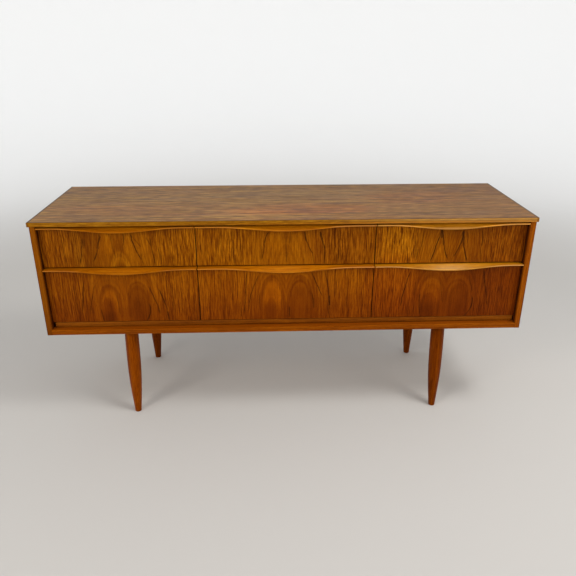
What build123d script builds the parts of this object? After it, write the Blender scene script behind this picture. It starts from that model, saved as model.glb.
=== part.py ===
from build123d import *
import math
import os

# Six-drawer sideboard on turned legs.
#
# Millimetres, +Z up. The origin is on the floor, under the middle of the top. +X is the
# sideboard's right seen from the front, and the drawers open towards -Y.

os.makedirs("parts", exist_ok=True)

# ---- driving dimensions --------------------------------------------------------------------

TOP_WIDTH = 1520.0
TOP_DEPTH = 448.0
TOP_THICKNESS = 14.0
TOP_END_OVERHANG = 5.0
TOP_FRONT_OVERHANG = 2.0
LIPPING_WIDTH = 6.0
LIPPING_ROUND = 1.5

LEG_HEIGHT = 315.0
CASE_HEIGHT = 356.0
PANEL_THICKNESS = 16.0
BOTTOM_THICKNESS = 17.0
EDGE_WIDTH = 8.0
EDGE_ROUND = 1.0

FRONT_RECESS = 19.0
FRONT_THICKNESS = 18.0
FRONT_SIDE_GAP = 1.5
DIVIDER_CENTRE = 273.5
DIVIDER_SETBACK = 1.0

RAIL_HEIGHT = 20.0
RAIL_DEPTH = 60.0
RAIL_SETBACK = 1.0
STRIP_HEIGHT = 18.0
STRIP_LEFT_GAP = 8.0
STRIP_RIGHT_GAP = 4.0
STRIP_QUIRK = (3.0, 4.0)

GAP_OVER_STRIP = 1.5
LOWER_FRONT_HEIGHT = 181.5
ROW_GAP = 4.0
UPPER_FRONT_HEIGHT = 129.0

# The lip pulls: their nose hangs lowest in the middle of a drawer, and rises to its ends.
LIP_STEM = 9.0
LIP_PROJECTION = 18.5
LIP_DROP = 14.0
LIP_HALF_CURVE = {"left": 195.0, "centre": 210.0, "right": 195.0}
LIP_STATIONS = 12
LIP_NOSE = 3.5
LIP_NOSE_ROUND = 1.6
LIP_NOSE_FLAT = 1.0
LIP_NOSE_FALL = 0.5
LIP_TOP_FALL = 13.0
LIP_TOP_LAND = 2.0
LIP_TOP_SWELL = 0.6
LIP_HOLLOW_PLACE = 8.0
LIP_HOLLOW = (6.2, 6.0)

BACK_THICKNESS = 4.0
BACK_RECESS = 8.0
BACK_TONGUE = 5.0

RUNNER_HEIGHT = 16.0
RUNNER_REACH = 7.5
RUNNER_HOUSING = 3.0
RUNNER_START = 60.0
RUNNER_END_GAP = 4.0
RUNNER_STOP_GAP = 1.0
RUNNER_CLEARANCE = 0.4

BOX_SIDE = 12.0
BOX_BACK = 10.0
BOX_CLEARANCE = 1.5
BOX_BOTTOM = 4.0
BOX_BOTTOM_LIFT = 8.0
BOX_GROOVE = 7.0
BOX_WEB = 1.0
BOX_TENON = 7.0
BOX_BACK_FALL = 6.0
BOX_LENGTH = 388.0
# Each drawer box: its height, its foot above its front's foot, and its runner above its own foot.
BOX_ROWS = {"upper": (100.0, 6.0, 58.0), "lower": (156.0, 5.5, 88.0)}

LEG_PLATE = 62.0
PLATE_CORNER = 6.0
PLATE_THICKNESS = 2.5
LEG_SPLAY = 1.0
# Each pair of legs: its inset from the case's ends, and from the front or back.
LEG_INSET_FRONT = (252.0, 46.0)
LEG_INSET_BACK = (259.0, 40.0)
# The turned outline of a leg: distance below the plate, and radius there.
LEG_RADII = (
    (0.0, 21.2), (60.0, 21.9), (120.0, 21.7), (180.0, 20.2), (230.0, 17.2), (275.0, 13.6),
    (316.0, 10.2),
)
LEG_SPARE = 3.0
FOOT_ROUND = 1.5
STUD_RADIUS = 4.0
STUD_IN_LEG = 32.0
STUD_IN_CASE = 14.0
STUD_PLATE_CLEARANCE = 0.3
STUD_CASE_CLEARANCE = 0.5

# Screws: radius of the shank, radius and height of the head, and overall length or bite.
SLOT_WIDTH = 1.0
SLOT_DEPTH = 1.0
SLOT_OVERRUN = 1.0
TOP_SCREW_REACH = (140.0, 505.0, 700.0)
TOP_SCREW_RADIUS = 2.0
TOP_SCREW_HEAD = (4.0, 2.4)
TOP_SCREW_HEAD_CLEARANCE = 0.5
TOP_SCREW_SUNK = 3.0
TOP_SCREW_BITE = 9.0
PLATE_SCREW_EDGE = 7.0
PLATE_SCREW_RADIUS = 2.0
PLATE_SCREW_HEAD = (4.0, 2.0)
PLATE_SCREW_LENGTH = 14.5
BACK_SCREW_REACH = (DIVIDER_CENTRE, 488.5, 715.0)
BACK_SCREW_HEIGHTS = (110.0, 235.0)
BACK_SCREW_RADIUS = 1.5
BACK_SCREW_HEAD = (3.4, 1.6)
BACK_SCREW_LENGTH = 16.0
BACK_SLOT_DEPTH = 0.8

# ---- places worked out from them -----------------------------------------------------------

CASE_WIDTH = TOP_WIDTH - 2 * TOP_END_OVERHANG
INNER = CASE_WIDTH / 2 - PANEL_THICKNESS
FRONT_Y = -TOP_DEPTH / 2 + TOP_FRONT_OVERHANG
BACK_Y = TOP_DEPTH / 2
CASE_Z = LEG_HEIGHT
FLOOR_Z = CASE_Z + BOTTOM_THICKNESS
UNDER_TOP_Z = CASE_Z + CASE_HEIGHT
TOP_Z = UNDER_TOP_Z + TOP_THICKNESS
BOARD_Y = FRONT_Y + FRONT_RECESS
BOX_Y = BOARD_Y + FRONT_THICKNESS
DIVIDER_Y = BOX_Y + DIVIDER_SETBACK
BACK_FACE_Y = BACK_Y - BACK_RECESS
BACK_PANEL_Y = BACK_FACE_Y - BACK_THICKNESS
DIVIDER_HALF = PANEL_THICKNESS / 2
FRONT_RAIL_Y = (DIVIDER_Y + RAIL_SETBACK, DIVIDER_Y + RAIL_SETBACK + RAIL_DEPTH)
BACK_RAIL_Y = (BACK_PANEL_Y - RAIL_DEPTH, BACK_PANEL_Y)
RAIL_Z = (UNDER_TOP_Z - RAIL_HEIGHT, UNDER_TOP_Z)

LOWER_Z = FLOOR_Z + STRIP_HEIGHT + GAP_OVER_STRIP
UPPER_Z = LOWER_Z + LOWER_FRONT_HEIGHT + ROW_GAP
ROWS = {"upper": (UPPER_Z, UPPER_FRONT_HEIGHT), "lower": (LOWER_Z, LOWER_FRONT_HEIGHT)}

# Each bay: the clear span between its panels, and the span of its drawer fronts.
BAYS = {
    "left": (
        (-INNER, -DIVIDER_CENTRE - DIVIDER_HALF),
        (-INNER + FRONT_SIDE_GAP, -DIVIDER_CENTRE - FRONT_SIDE_GAP),
    ),
    "centre": (
        (-DIVIDER_CENTRE + DIVIDER_HALF, DIVIDER_CENTRE - DIVIDER_HALF),
        (-DIVIDER_CENTRE + FRONT_SIDE_GAP, DIVIDER_CENTRE - FRONT_SIDE_GAP),
    ),
    "right": (
        (DIVIDER_CENTRE + DIVIDER_HALF, INNER),
        (DIVIDER_CENTRE + FRONT_SIDE_GAP, INNER - FRONT_SIDE_GAP),
    ),
}

RUNNER_Y = (FRONT_Y + RUNNER_START, BACK_PANEL_Y - RUNNER_END_GAP)
RUNNER_Z = {row: ROWS[row][0] + BOX_ROWS[row][1] + BOX_ROWS[row][2] for row in ROWS}


def block(x, y, z, mode=Mode.ADD):
    """A rectangular block between the pairs of limits x, y and z."""
    with Locations((x[0], y[0], z[0])):
        Box(x[1] - x[0], y[1] - y[0], z[1] - z[0], align=(Align.MIN,) * 3, mode=mode)


def finish_piece(builder, name):
    """Label a finished piece and write it."""
    builder.part.label = name
    export_step(builder.part, f"parts/{name}.step")


# ---- top -----------------------------------------------------------------------------------

BOARD_X = TOP_WIDTH / 2 - LIPPING_WIDTH
TOP_FRONT_Y = -TOP_DEPTH / 2
TOP_BOARD_Y = TOP_FRONT_Y + LIPPING_WIDTH


def rail_screw_points(rail_y):
    """Where the top's fixing screws pass through the rail between the limits rail_y."""
    centre = (rail_y[0] + rail_y[1]) / 2
    return [(side * x, centre) for side in (-1, 1) for x in TOP_SCREW_REACH]


def screws(points, plane_z, radius, head, length):
    """Slotted countersunk screws standing on plane_z, head downwards, in the open builder."""
    for x, y in points:
        with BuildSketch(Plane((x, y, plane_z), x_dir=(1, 0, 0), z_dir=(0, -1, 0))) as half:
            with BuildLine():
                Polyline(
                    (0, 0), (head[0], 0), (radius, head[1]), (radius, length), (0, length),
                    close=True)
            make_face()
        revolve(half.sketch, axis=Axis((x, y, plane_z), (0, 0, 1)))
        reach = head[0] + SLOT_OVERRUN
        block((x - reach, x + reach), (y - SLOT_WIDTH / 2, y + SLOT_WIDTH / 2),
              (plane_z, plane_z + SLOT_DEPTH), Mode.SUBTRACT)


TOP_SCREW_POINTS = rail_screw_points(FRONT_RAIL_Y) + rail_screw_points(BACK_RAIL_Y)


with BuildPart() as top_panel:
    block((-BOARD_X, BOARD_X), (TOP_BOARD_Y, BACK_Y), (UNDER_TOP_Z, TOP_Z))
    with BuildSketch(Plane.XY.offset(UNDER_TOP_Z)):
        with Locations(*TOP_SCREW_POINTS):
            Circle(TOP_SCREW_RADIUS)
    extrude(amount=TOP_SCREW_BITE, mode=Mode.SUBTRACT)
finish_piece(top_panel, "top_panel")

with BuildPart() as top_front_lipping:
    with BuildSketch(Plane.XY.offset(UNDER_TOP_Z)):
        with BuildLine():
            Polyline(
                (-TOP_WIDTH / 2, TOP_FRONT_Y), (TOP_WIDTH / 2, TOP_FRONT_Y),
                (BOARD_X, TOP_BOARD_Y), (-BOARD_X, TOP_BOARD_Y), close=True)
        make_face()
    extrude(amount=TOP_THICKNESS)
    fillet(top_front_lipping.faces().sort_by(Axis.Y)[0].edges().filter_by(Axis.X), LIPPING_ROUND)
finish_piece(top_front_lipping, "top_front_lipping")

with BuildPart() as top_end_lippings:
    for side in (-1, 1):
        with BuildSketch(Plane.XY.offset(UNDER_TOP_Z)):
            with BuildLine():
                Polyline(
                    (side * TOP_WIDTH / 2, TOP_FRONT_Y), (side * BOARD_X, TOP_BOARD_Y),
                    (side * BOARD_X, BACK_Y), (side * TOP_WIDTH / 2, BACK_Y), close=True)
            make_face()
        extrude(amount=TOP_THICKNESS)
    end_faces = top_end_lippings.faces().sort_by(Axis.X)
    for face in (end_faces[0], end_faces[-1]):
        fillet(face.edges().filter_by(Axis.Y), LIPPING_ROUND)
finish_piece(top_end_lippings, "top_end_lippings")

# ---- case ----------------------------------------------------------------------------------

HOUSING_Z = [(z - RUNNER_HEIGHT / 2, z + RUNNER_HEIGHT / 2) for z in RUNNER_Z.values()]
TONGUE_X = INNER + BACK_TONGUE

for name, side in (("left_side_panel", -1), ("right_side_panel", 1)):
    with BuildPart() as side_panel:
        outer, inner = sorted((side * CASE_WIDTH / 2, side * INNER))
        block((outer, inner), (FRONT_Y + EDGE_WIDTH, BACK_Y), (CASE_Z, UNDER_TOP_Z))
        housing = sorted((side * INNER, side * (INNER + RUNNER_HOUSING)))
        for heights in HOUSING_Z:
            block(housing, RUNNER_Y, heights, Mode.SUBTRACT)
        groove = sorted((side * INNER, side * TONGUE_X))
        block(groove, (BACK_PANEL_Y, BACK_FACE_Y), (CASE_Z, UNDER_TOP_Z), Mode.SUBTRACT)
    finish_piece(side_panel, name)

with BuildPart() as side_front_lippings:
    for side in (-1, 1):
        limits = sorted((side * CASE_WIDTH / 2, side * INNER))
        block(limits, (FRONT_Y, FRONT_Y + EDGE_WIDTH), (CASE_Z, UNDER_TOP_Z))
    front_faces = side_front_lippings.faces().group_by(Axis.Y)[0]
    fillet(front_faces.edges().filter_by(Axis.Z), EDGE_ROUND)
finish_piece(side_front_lippings, "side_front_lippings")

LEG_ROWS = (
    (LEG_INSET_FRONT[0], FRONT_Y + LEG_INSET_FRONT[1]),
    (LEG_INSET_BACK[0], BACK_Y - LEG_INSET_BACK[1]),
)
LEG_POINTS = [(side * (CASE_WIDTH / 2 - inset), y) for side in (-1, 1) for inset, y in LEG_ROWS]
PLATE_SCREW_OFFSET = LEG_PLATE / 2 - PLATE_SCREW_EDGE
PLATE_SCREW_POINTS = [
    (x + i * PLATE_SCREW_OFFSET, y + j * PLATE_SCREW_OFFSET)
    for x, y in LEG_POINTS
    for i in (-1, 1)
    for j in (-1, 1)
]
BACK_SCREW_X = [0.0] + [side * x for side in (-1, 1) for x in BACK_SCREW_REACH]
BACK_SCREW_ROWS = (CASE_Z + BOTTOM_THICKNESS / 2, UNDER_TOP_Z - RAIL_HEIGHT / 2)
BACK_SCREW_POINTS = [(x, z) for x in BACK_SCREW_X for z in BACK_SCREW_ROWS]
BACK_SCREW_POINTS += [
    (side * DIVIDER_CENTRE, CASE_Z + height) for side in (-1, 1) for height in BACK_SCREW_HEIGHTS
]

BACK_VIEW = Plane((0, BACK_FACE_Y, 0), x_dir=(1, 0, 0), z_dir=(0, -1, 0))


def back_screw_holes():
    """Clear holes for the back panel's screws, forward from its rear face, in the open builder."""
    with BuildSketch(BACK_VIEW) as holes:
        with Locations(*BACK_SCREW_POINTS):
            Circle(BACK_SCREW_RADIUS)
    extrude(holes.sketch, amount=BACK_SCREW_LENGTH, mode=Mode.SUBTRACT)


with BuildPart() as bottom_panel:
    block((-INNER, INNER), (FRONT_Y + EDGE_WIDTH, BACK_PANEL_Y), (CASE_Z, FLOOR_Z))
    with BuildSketch(Plane.XY.offset(CASE_Z)):
        with Locations(*PLATE_SCREW_POINTS):
            Circle(PLATE_SCREW_RADIUS)
    extrude(amount=PLATE_SCREW_LENGTH - PLATE_THICKNESS, mode=Mode.SUBTRACT)
    with BuildSketch(Plane.XY.offset(CASE_Z)):
        with Locations(*LEG_POINTS):
            Circle(STUD_RADIUS + STUD_CASE_CLEARANCE)
    extrude(amount=STUD_IN_CASE + STUD_CASE_CLEARANCE, mode=Mode.SUBTRACT)
    back_screw_holes()
finish_piece(bottom_panel, "bottom_panel")

with BuildPart() as bottom_front_lipping:
    block((-INNER, INNER), (FRONT_Y, FRONT_Y + EDGE_WIDTH), (CASE_Z, FLOOR_Z))
    fillet(bottom_front_lipping.faces().sort_by(Axis.Y)[0].edges().filter_by(Axis.X), EDGE_ROUND)
finish_piece(bottom_front_lipping, "bottom_front_lipping")

for name, centre in (("left_divider", -DIVIDER_CENTRE), ("right_divider", DIVIDER_CENTRE)):
    with BuildPart() as divider:
        faces_x = (centre - DIVIDER_HALF, centre + DIVIDER_HALF)
        block(faces_x, (DIVIDER_Y, BACK_PANEL_Y), (FLOOR_Z, UNDER_TOP_Z))
        block(faces_x, (DIVIDER_Y, FRONT_RAIL_Y[1]), RAIL_Z, Mode.SUBTRACT)
        block(faces_x, BACK_RAIL_Y, RAIL_Z, Mode.SUBTRACT)
        for heights in HOUSING_Z:
            block((faces_x[0], faces_x[0] + RUNNER_HOUSING), RUNNER_Y, heights, Mode.SUBTRACT)
            block((faces_x[1] - RUNNER_HOUSING, faces_x[1]), RUNNER_Y, heights, Mode.SUBTRACT)
        back_screw_holes()
    finish_piece(divider, name)

for name, limits in (("top_front_rail", FRONT_RAIL_Y), ("top_back_rail", BACK_RAIL_Y)):
    with BuildPart() as rail:
        block((-INNER, INNER), limits, RAIL_Z)
        with BuildSketch(Plane.XY.offset(RAIL_Z[0])):
            with Locations(*rail_screw_points(limits)):
                Circle(TOP_SCREW_RADIUS)
        extrude(amount=RAIL_HEIGHT, mode=Mode.SUBTRACT)
        with BuildSketch(Plane.XY.offset(RAIL_Z[0])):
            with Locations(*rail_screw_points(limits)):
                Circle(TOP_SCREW_HEAD[0] + TOP_SCREW_HEAD_CLEARANCE)
        extrude(amount=TOP_SCREW_SUNK + TOP_SCREW_HEAD[1], mode=Mode.SUBTRACT)
        back_screw_holes()
    finish_piece(rail, name)

with BuildPart() as bottom_front_rail:
    limits = (-INNER + STRIP_LEFT_GAP, INNER - STRIP_RIGHT_GAP)
    block(limits, (BOARD_Y, BOX_Y), (FLOOR_Z, FLOOR_Z + STRIP_HEIGHT))
    block(limits, (BOARD_Y, BOARD_Y + STRIP_QUIRK[0]), (FLOOR_Z, FLOOR_Z + STRIP_QUIRK[1]),
          Mode.SUBTRACT)
finish_piece(bottom_front_rail, "bottom_front_rail")

with BuildPart() as back_panel:
    block((-TONGUE_X, TONGUE_X), (BACK_PANEL_Y, BACK_FACE_Y), (CASE_Z, UNDER_TOP_Z))
    back_screw_holes()
finish_piece(back_panel, "back_panel")

with BuildPart() as drawer_runners:
    for clear, _ in BAYS.values():
        for heights in HOUSING_Z:
            block((clear[0] - RUNNER_HOUSING, clear[0] + RUNNER_REACH), RUNNER_Y, heights)
            block((clear[1] - RUNNER_REACH, clear[1] + RUNNER_HOUSING), RUNNER_Y, heights)
finish_piece(drawer_runners, "drawer_runners")

with BuildPart() as top_fixing_screws:
    length = RAIL_HEIGHT - TOP_SCREW_SUNK + TOP_SCREW_BITE
    screws(TOP_SCREW_POINTS, RAIL_Z[0] + TOP_SCREW_SUNK, TOP_SCREW_RADIUS, TOP_SCREW_HEAD, length)
finish_piece(top_fixing_screws, "top_fixing_screws")

with BuildPart() as back_panel_screws:
    with BuildSketch(BACK_VIEW):
        with Locations(*BACK_SCREW_POINTS):
            Circle(BACK_SCREW_RADIUS)
    extrude(amount=BACK_SCREW_LENGTH)
    with BuildSketch(BACK_VIEW):
        with Locations(*BACK_SCREW_POINTS):
            Circle(BACK_SCREW_HEAD[0])
    extrude(amount=-BACK_SCREW_HEAD[1])
    rims = back_panel_screws.faces().sort_by(Axis.Y).group_by(Axis.Y)[-1]
    chamfer(rims.edges(), BACK_SCREW_HEAD[1] / 2)
    for x, z in BACK_SCREW_POINTS:
        reach = BACK_SCREW_HEAD[0]
        head_y = BACK_FACE_Y + BACK_SCREW_HEAD[1]
        block((x - reach, x + reach), (head_y - BACK_SLOT_DEPTH, head_y),
              (z - SLOT_WIDTH / 2, z + SLOT_WIDTH / 2), Mode.SUBTRACT)
finish_piece(back_panel_screws, "back_panel_screws")

# ---- legs ----------------------------------------------------------------------------------

LEG_TOP_Z = CASE_Z - PLATE_THICKNESS
LEG_NAMES = ("leg_front_left", "leg_back_left", "leg_front_right", "leg_back_right")
SPLAY_SHIFT = math.tan(math.radians(LEG_SPLAY))


def leg_plane(x, y):
    """The plane across the top of a leg, with its normal along the splayed leg, upwards."""
    outward_x = math.copysign(SPLAY_SHIFT, x)
    outward_y = math.copysign(SPLAY_SHIFT, y)
    axis = Vector(-outward_x, -outward_y, 1.0)
    return Plane((x, y, LEG_TOP_Z), z_dir=axis)


for name, (x, y) in zip(LEG_NAMES, LEG_POINTS):
    axis_plane = leg_plane(x, y)
    with BuildPart() as leg:
        with BuildSketch(Plane(axis_plane.origin, x_dir=axis_plane.x_dir, z_dir=-axis_plane.y_dir)):
            with BuildLine():
                foot, top = LEG_RADII[-1], LEG_RADII[0]
                Spline(*[(radius, -depth) for depth, radius in LEG_RADII])
                Polyline(
                    (top[1], 0), (top[1], LEG_SPARE), (0, LEG_SPARE), (0, -foot[0]),
                    (foot[1], -foot[0]))
            make_face()
        revolve(axis=Axis(axis_plane.origin, axis_plane.z_dir))
        split(bisect_by=Plane.XY.offset(LEG_TOP_Z), keep=Keep.BOTTOM)
        split(bisect_by=Plane.XY, keep=Keep.TOP)
        fillet(leg.faces().sort_by(Axis.Z)[0].edges(), FOOT_ROUND)
        with BuildSketch(axis_plane.offset(LEG_SPARE)):
            Circle(STUD_RADIUS)
        extrude(amount=-STUD_IN_LEG - LEG_SPARE, mode=Mode.SUBTRACT)
    finish_piece(leg, name)

with BuildPart() as leg_plates:
    with BuildSketch(Plane.XY.offset(LEG_TOP_Z)):
        with Locations(*LEG_POINTS):
            RectangleRounded(LEG_PLATE, LEG_PLATE, PLATE_CORNER)
            Circle(STUD_RADIUS + STUD_PLATE_CLEARANCE, mode=Mode.SUBTRACT)
    extrude(amount=PLATE_THICKNESS)
    with Locations(Plane.XY.offset(LEG_TOP_Z)):
        for x, y in PLATE_SCREW_POINTS:
            with Locations((x, y, 0)):
                Cone(PLATE_SCREW_HEAD[0], PLATE_SCREW_RADIUS, PLATE_SCREW_HEAD[1],
                     align=(Align.CENTER, Align.CENTER, Align.MIN), mode=Mode.SUBTRACT)
                Cylinder(PLATE_SCREW_RADIUS, PLATE_THICKNESS,
                         align=(Align.CENTER, Align.CENTER, Align.MIN), mode=Mode.SUBTRACT)
finish_piece(leg_plates, "leg_plates")

with BuildPart() as leg_plate_screws:
    screws(PLATE_SCREW_POINTS, LEG_TOP_Z, PLATE_SCREW_RADIUS, PLATE_SCREW_HEAD,
           PLATE_SCREW_LENGTH)
finish_piece(leg_plate_screws, "leg_plate_screws")

with BuildPart() as leg_studs:
    for x, y in LEG_POINTS:
        axis_plane = leg_plane(x, y)
        with BuildSketch(axis_plane.offset(-STUD_IN_LEG)):
            Circle(STUD_RADIUS)
        extrude(amount=STUD_IN_LEG + PLATE_THICKNESS + STUD_IN_CASE)
finish_piece(leg_studs, "leg_studs")

# ---- drawers -------------------------------------------------------------------------------


def lip_outline(share):
    """Section of a lip pull whose nose hangs by this share of its full drop.

    (0, 0) is over its nose. The stem stands on the drawer front. From there the upper face falls
    to a round nose, and the underside is hollowed for the fingers.
    """
    depth = LIP_PROJECTION + FRONT_THICKNESS
    nose_top = (LIP_NOSE_ROUND, -LIP_NOSE_FALL - LIP_TOP_FALL * share)
    nose_low = (LIP_NOSE_ROUND, -LIP_NOSE_FALL - LIP_NOSE - LIP_DROP * share)
    nose_end = (LIP_NOSE_ROUND + LIP_NOSE_FLAT, nose_low[1])
    hollow = (LIP_HOLLOW_PLACE, -LIP_HOLLOW[0] - LIP_HOLLOW[1] * share)
    stem_foot = (LIP_PROJECTION, -LIP_STEM)
    stem_top = (LIP_PROJECTION + LIP_TOP_LAND, 0)
    swell = (LIP_PROJECTION / 2, nose_top[1] / 2 - LIP_TOP_SWELL * share)
    Line(nose_low, nose_end)
    Spline(nose_end, hollow, stem_foot)
    Polyline(stem_foot, (depth, -LIP_STEM), (depth, 0), stem_top)
    Spline(stem_top, swell, nose_top)
    ThreePointArc(nose_top, (0, (nose_top[1] + nose_low[1]) / 2), nose_low)


def make_lip(name, bay, front_x, lip_z):
    """The lip pull along the top of one drawer front, between the limits front_x."""
    centre = (front_x[0] + front_x[1]) / 2
    half_curve = LIP_HALF_CURVE[bay]
    with BuildPart() as lip:
        for i in range(LIP_STATIONS + 1):
            offset_x = half_curve * (2 * i / LIP_STATIONS - 1)
            share = (1 + math.cos(math.pi * offset_x / half_curve)) / 2
            origin = (centre + offset_x, BOARD_Y - LIP_PROJECTION, lip_z)
            with BuildSketch(Plane(origin, x_dir=(0, 1, 0), z_dir=(1, 0, 0))):
                with BuildLine():
                    lip_outline(share)
                make_face()
        loft()
        left_end = lip.faces().filter_by(Axis.X).sort_by(Axis.X)[0]
        extrude(left_end, amount=centre - half_curve - front_x[0])
        right_end = lip.faces().filter_by(Axis.X).sort_by(Axis.X)[-1]
        extrude(right_end, amount=front_x[1] - centre - half_curve)
    finish_piece(lip, f"{name}_lip")


def make_drawer(row, bay):
    """The six pieces of one drawer."""
    name = f"{row}_{bay}_drawer"
    foot, height = ROWS[row]
    clear, front_x = BAYS[bay]
    box_height, box_lift, runner_lift = BOX_ROWS[row]
    box_z = (foot + box_lift, foot + box_lift + box_height)
    box_x = (clear[0] + BOX_CLEARANCE, clear[1] - BOX_CLEARANCE)
    box_y = (BOX_Y, BOX_Y + BOX_LENGTH)
    lip_z = foot + height
    base_z = (box_z[0] + BOX_BOTTOM_LIFT, box_z[0] + BOX_BOTTOM_LIFT + BOX_BOTTOM)
    inner_x = (box_x[0] + BOX_SIDE, box_x[1] - BOX_SIDE)
    tongue = BOX_SIDE - BOX_GROOVE - BOX_WEB

    with BuildPart() as front:
        block(front_x, (BOARD_Y, BOX_Y), (foot, lip_z - LIP_STEM))
        for side_x in ((box_x[0], inner_x[0]), (inner_x[1], box_x[1])):
            block(side_x, (BOX_Y - BOX_TENON, BOX_Y), box_z, Mode.SUBTRACT)
        block(inner_x, (BOX_Y - BOX_TENON, BOX_Y), base_z, Mode.SUBTRACT)
    finish_piece(front, f"{name}_front")

    make_lip(name, bay, front_x, lip_z)

    runner_z = box_z[0] + runner_lift
    groove_z = (
        runner_z - RUNNER_HEIGHT / 2 - RUNNER_CLEARANCE,
        runner_z + RUNNER_HEIGHT / 2 + RUNNER_CLEARANCE,
    )
    groove_y = (RUNNER_Y[0] - RUNNER_STOP_GAP, box_y[1])
    for hand, outer, inner, step in (
        ("left", box_x[0], inner_x[0], 1),
        ("right", box_x[1], inner_x[1], -1),
    ):
        with BuildPart() as side:
            block(sorted((outer, inner)), (BOX_Y - BOX_TENON, box_y[1]), box_z)
            block(sorted((outer, outer + step * BOX_GROOVE)), groove_y, groove_z, Mode.SUBTRACT)
            block(sorted((inner, inner - step * tongue)), (BOX_Y - BOX_TENON, box_y[1]), base_z,
                  Mode.SUBTRACT)
        finish_piece(side, f"{name}_{hand}_side")

    with BuildPart() as back:
        block(inner_x, (box_y[1] - BOX_BACK, box_y[1]), (base_z[1], box_z[1] - BOX_BACK_FALL))
    finish_piece(back, f"{name}_back")

    with BuildPart() as base:
        block((inner_x[0] - tongue, inner_x[1] + tongue), (BOX_Y, box_y[1]), base_z)
        block(inner_x, (BOX_Y - BOX_TENON, BOX_Y), base_z)
    finish_piece(base, f"{name}_bottom")


for row in ROWS:
    for bay in BAYS:
        make_drawer(row, bay)
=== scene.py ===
import math

import bmesh
import bpy
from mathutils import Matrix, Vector


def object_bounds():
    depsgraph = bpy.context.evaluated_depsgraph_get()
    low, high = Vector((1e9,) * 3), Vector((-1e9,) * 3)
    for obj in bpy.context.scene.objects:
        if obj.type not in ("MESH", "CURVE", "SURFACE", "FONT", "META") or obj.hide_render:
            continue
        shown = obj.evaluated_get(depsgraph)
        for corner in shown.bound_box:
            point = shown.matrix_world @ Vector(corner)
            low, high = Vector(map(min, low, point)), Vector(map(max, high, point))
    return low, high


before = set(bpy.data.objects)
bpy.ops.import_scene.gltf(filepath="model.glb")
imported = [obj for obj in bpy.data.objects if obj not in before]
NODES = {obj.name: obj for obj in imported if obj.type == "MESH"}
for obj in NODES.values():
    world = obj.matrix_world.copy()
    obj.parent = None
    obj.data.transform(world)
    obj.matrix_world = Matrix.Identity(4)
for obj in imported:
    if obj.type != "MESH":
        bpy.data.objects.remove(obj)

CAD_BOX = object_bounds()
END_X = CAD_BOX[1][0]
FRONT_Y = CAD_BOX[0][1]
TOP_Z = CAD_BOX[1][2]

# ---------------------------------------------------------------- camera
CAMERA_PLACE = (-0.0557, -1.9137, 1.1885)
CAMERA_YAW = 0.0359
CAMERA_PITCH = 0.4033
CAMERA_LENS = 37.07
SENSOR = 36.0


def make_camera():
    """The camera at the photograph's place, looking down and slightly to the right."""
    data = bpy.data.cameras.new("camera")
    data.lens = CAMERA_LENS
    data.sensor_width = SENSOR
    data.clip_start = 0.05
    data.clip_end = 50.0
    camera = bpy.data.objects.new("camera", data)
    camera.location = CAMERA_PLACE
    camera.rotation_euler = (math.pi / 2 - CAMERA_PITCH, 0.0, -CAMERA_YAW)
    bpy.context.scene.collection.objects.link(camera)
    bpy.context.scene.camera = camera


# ---------------------------------------------------------------- material helper
# A Mix node has sockets for each kind of value. These are the places of its colour ones.
MIX_FIRST_COLOUR = 6
MIX_SECOND_COLOUR = 7
MIX_RESULT_COLOUR = 2


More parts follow.
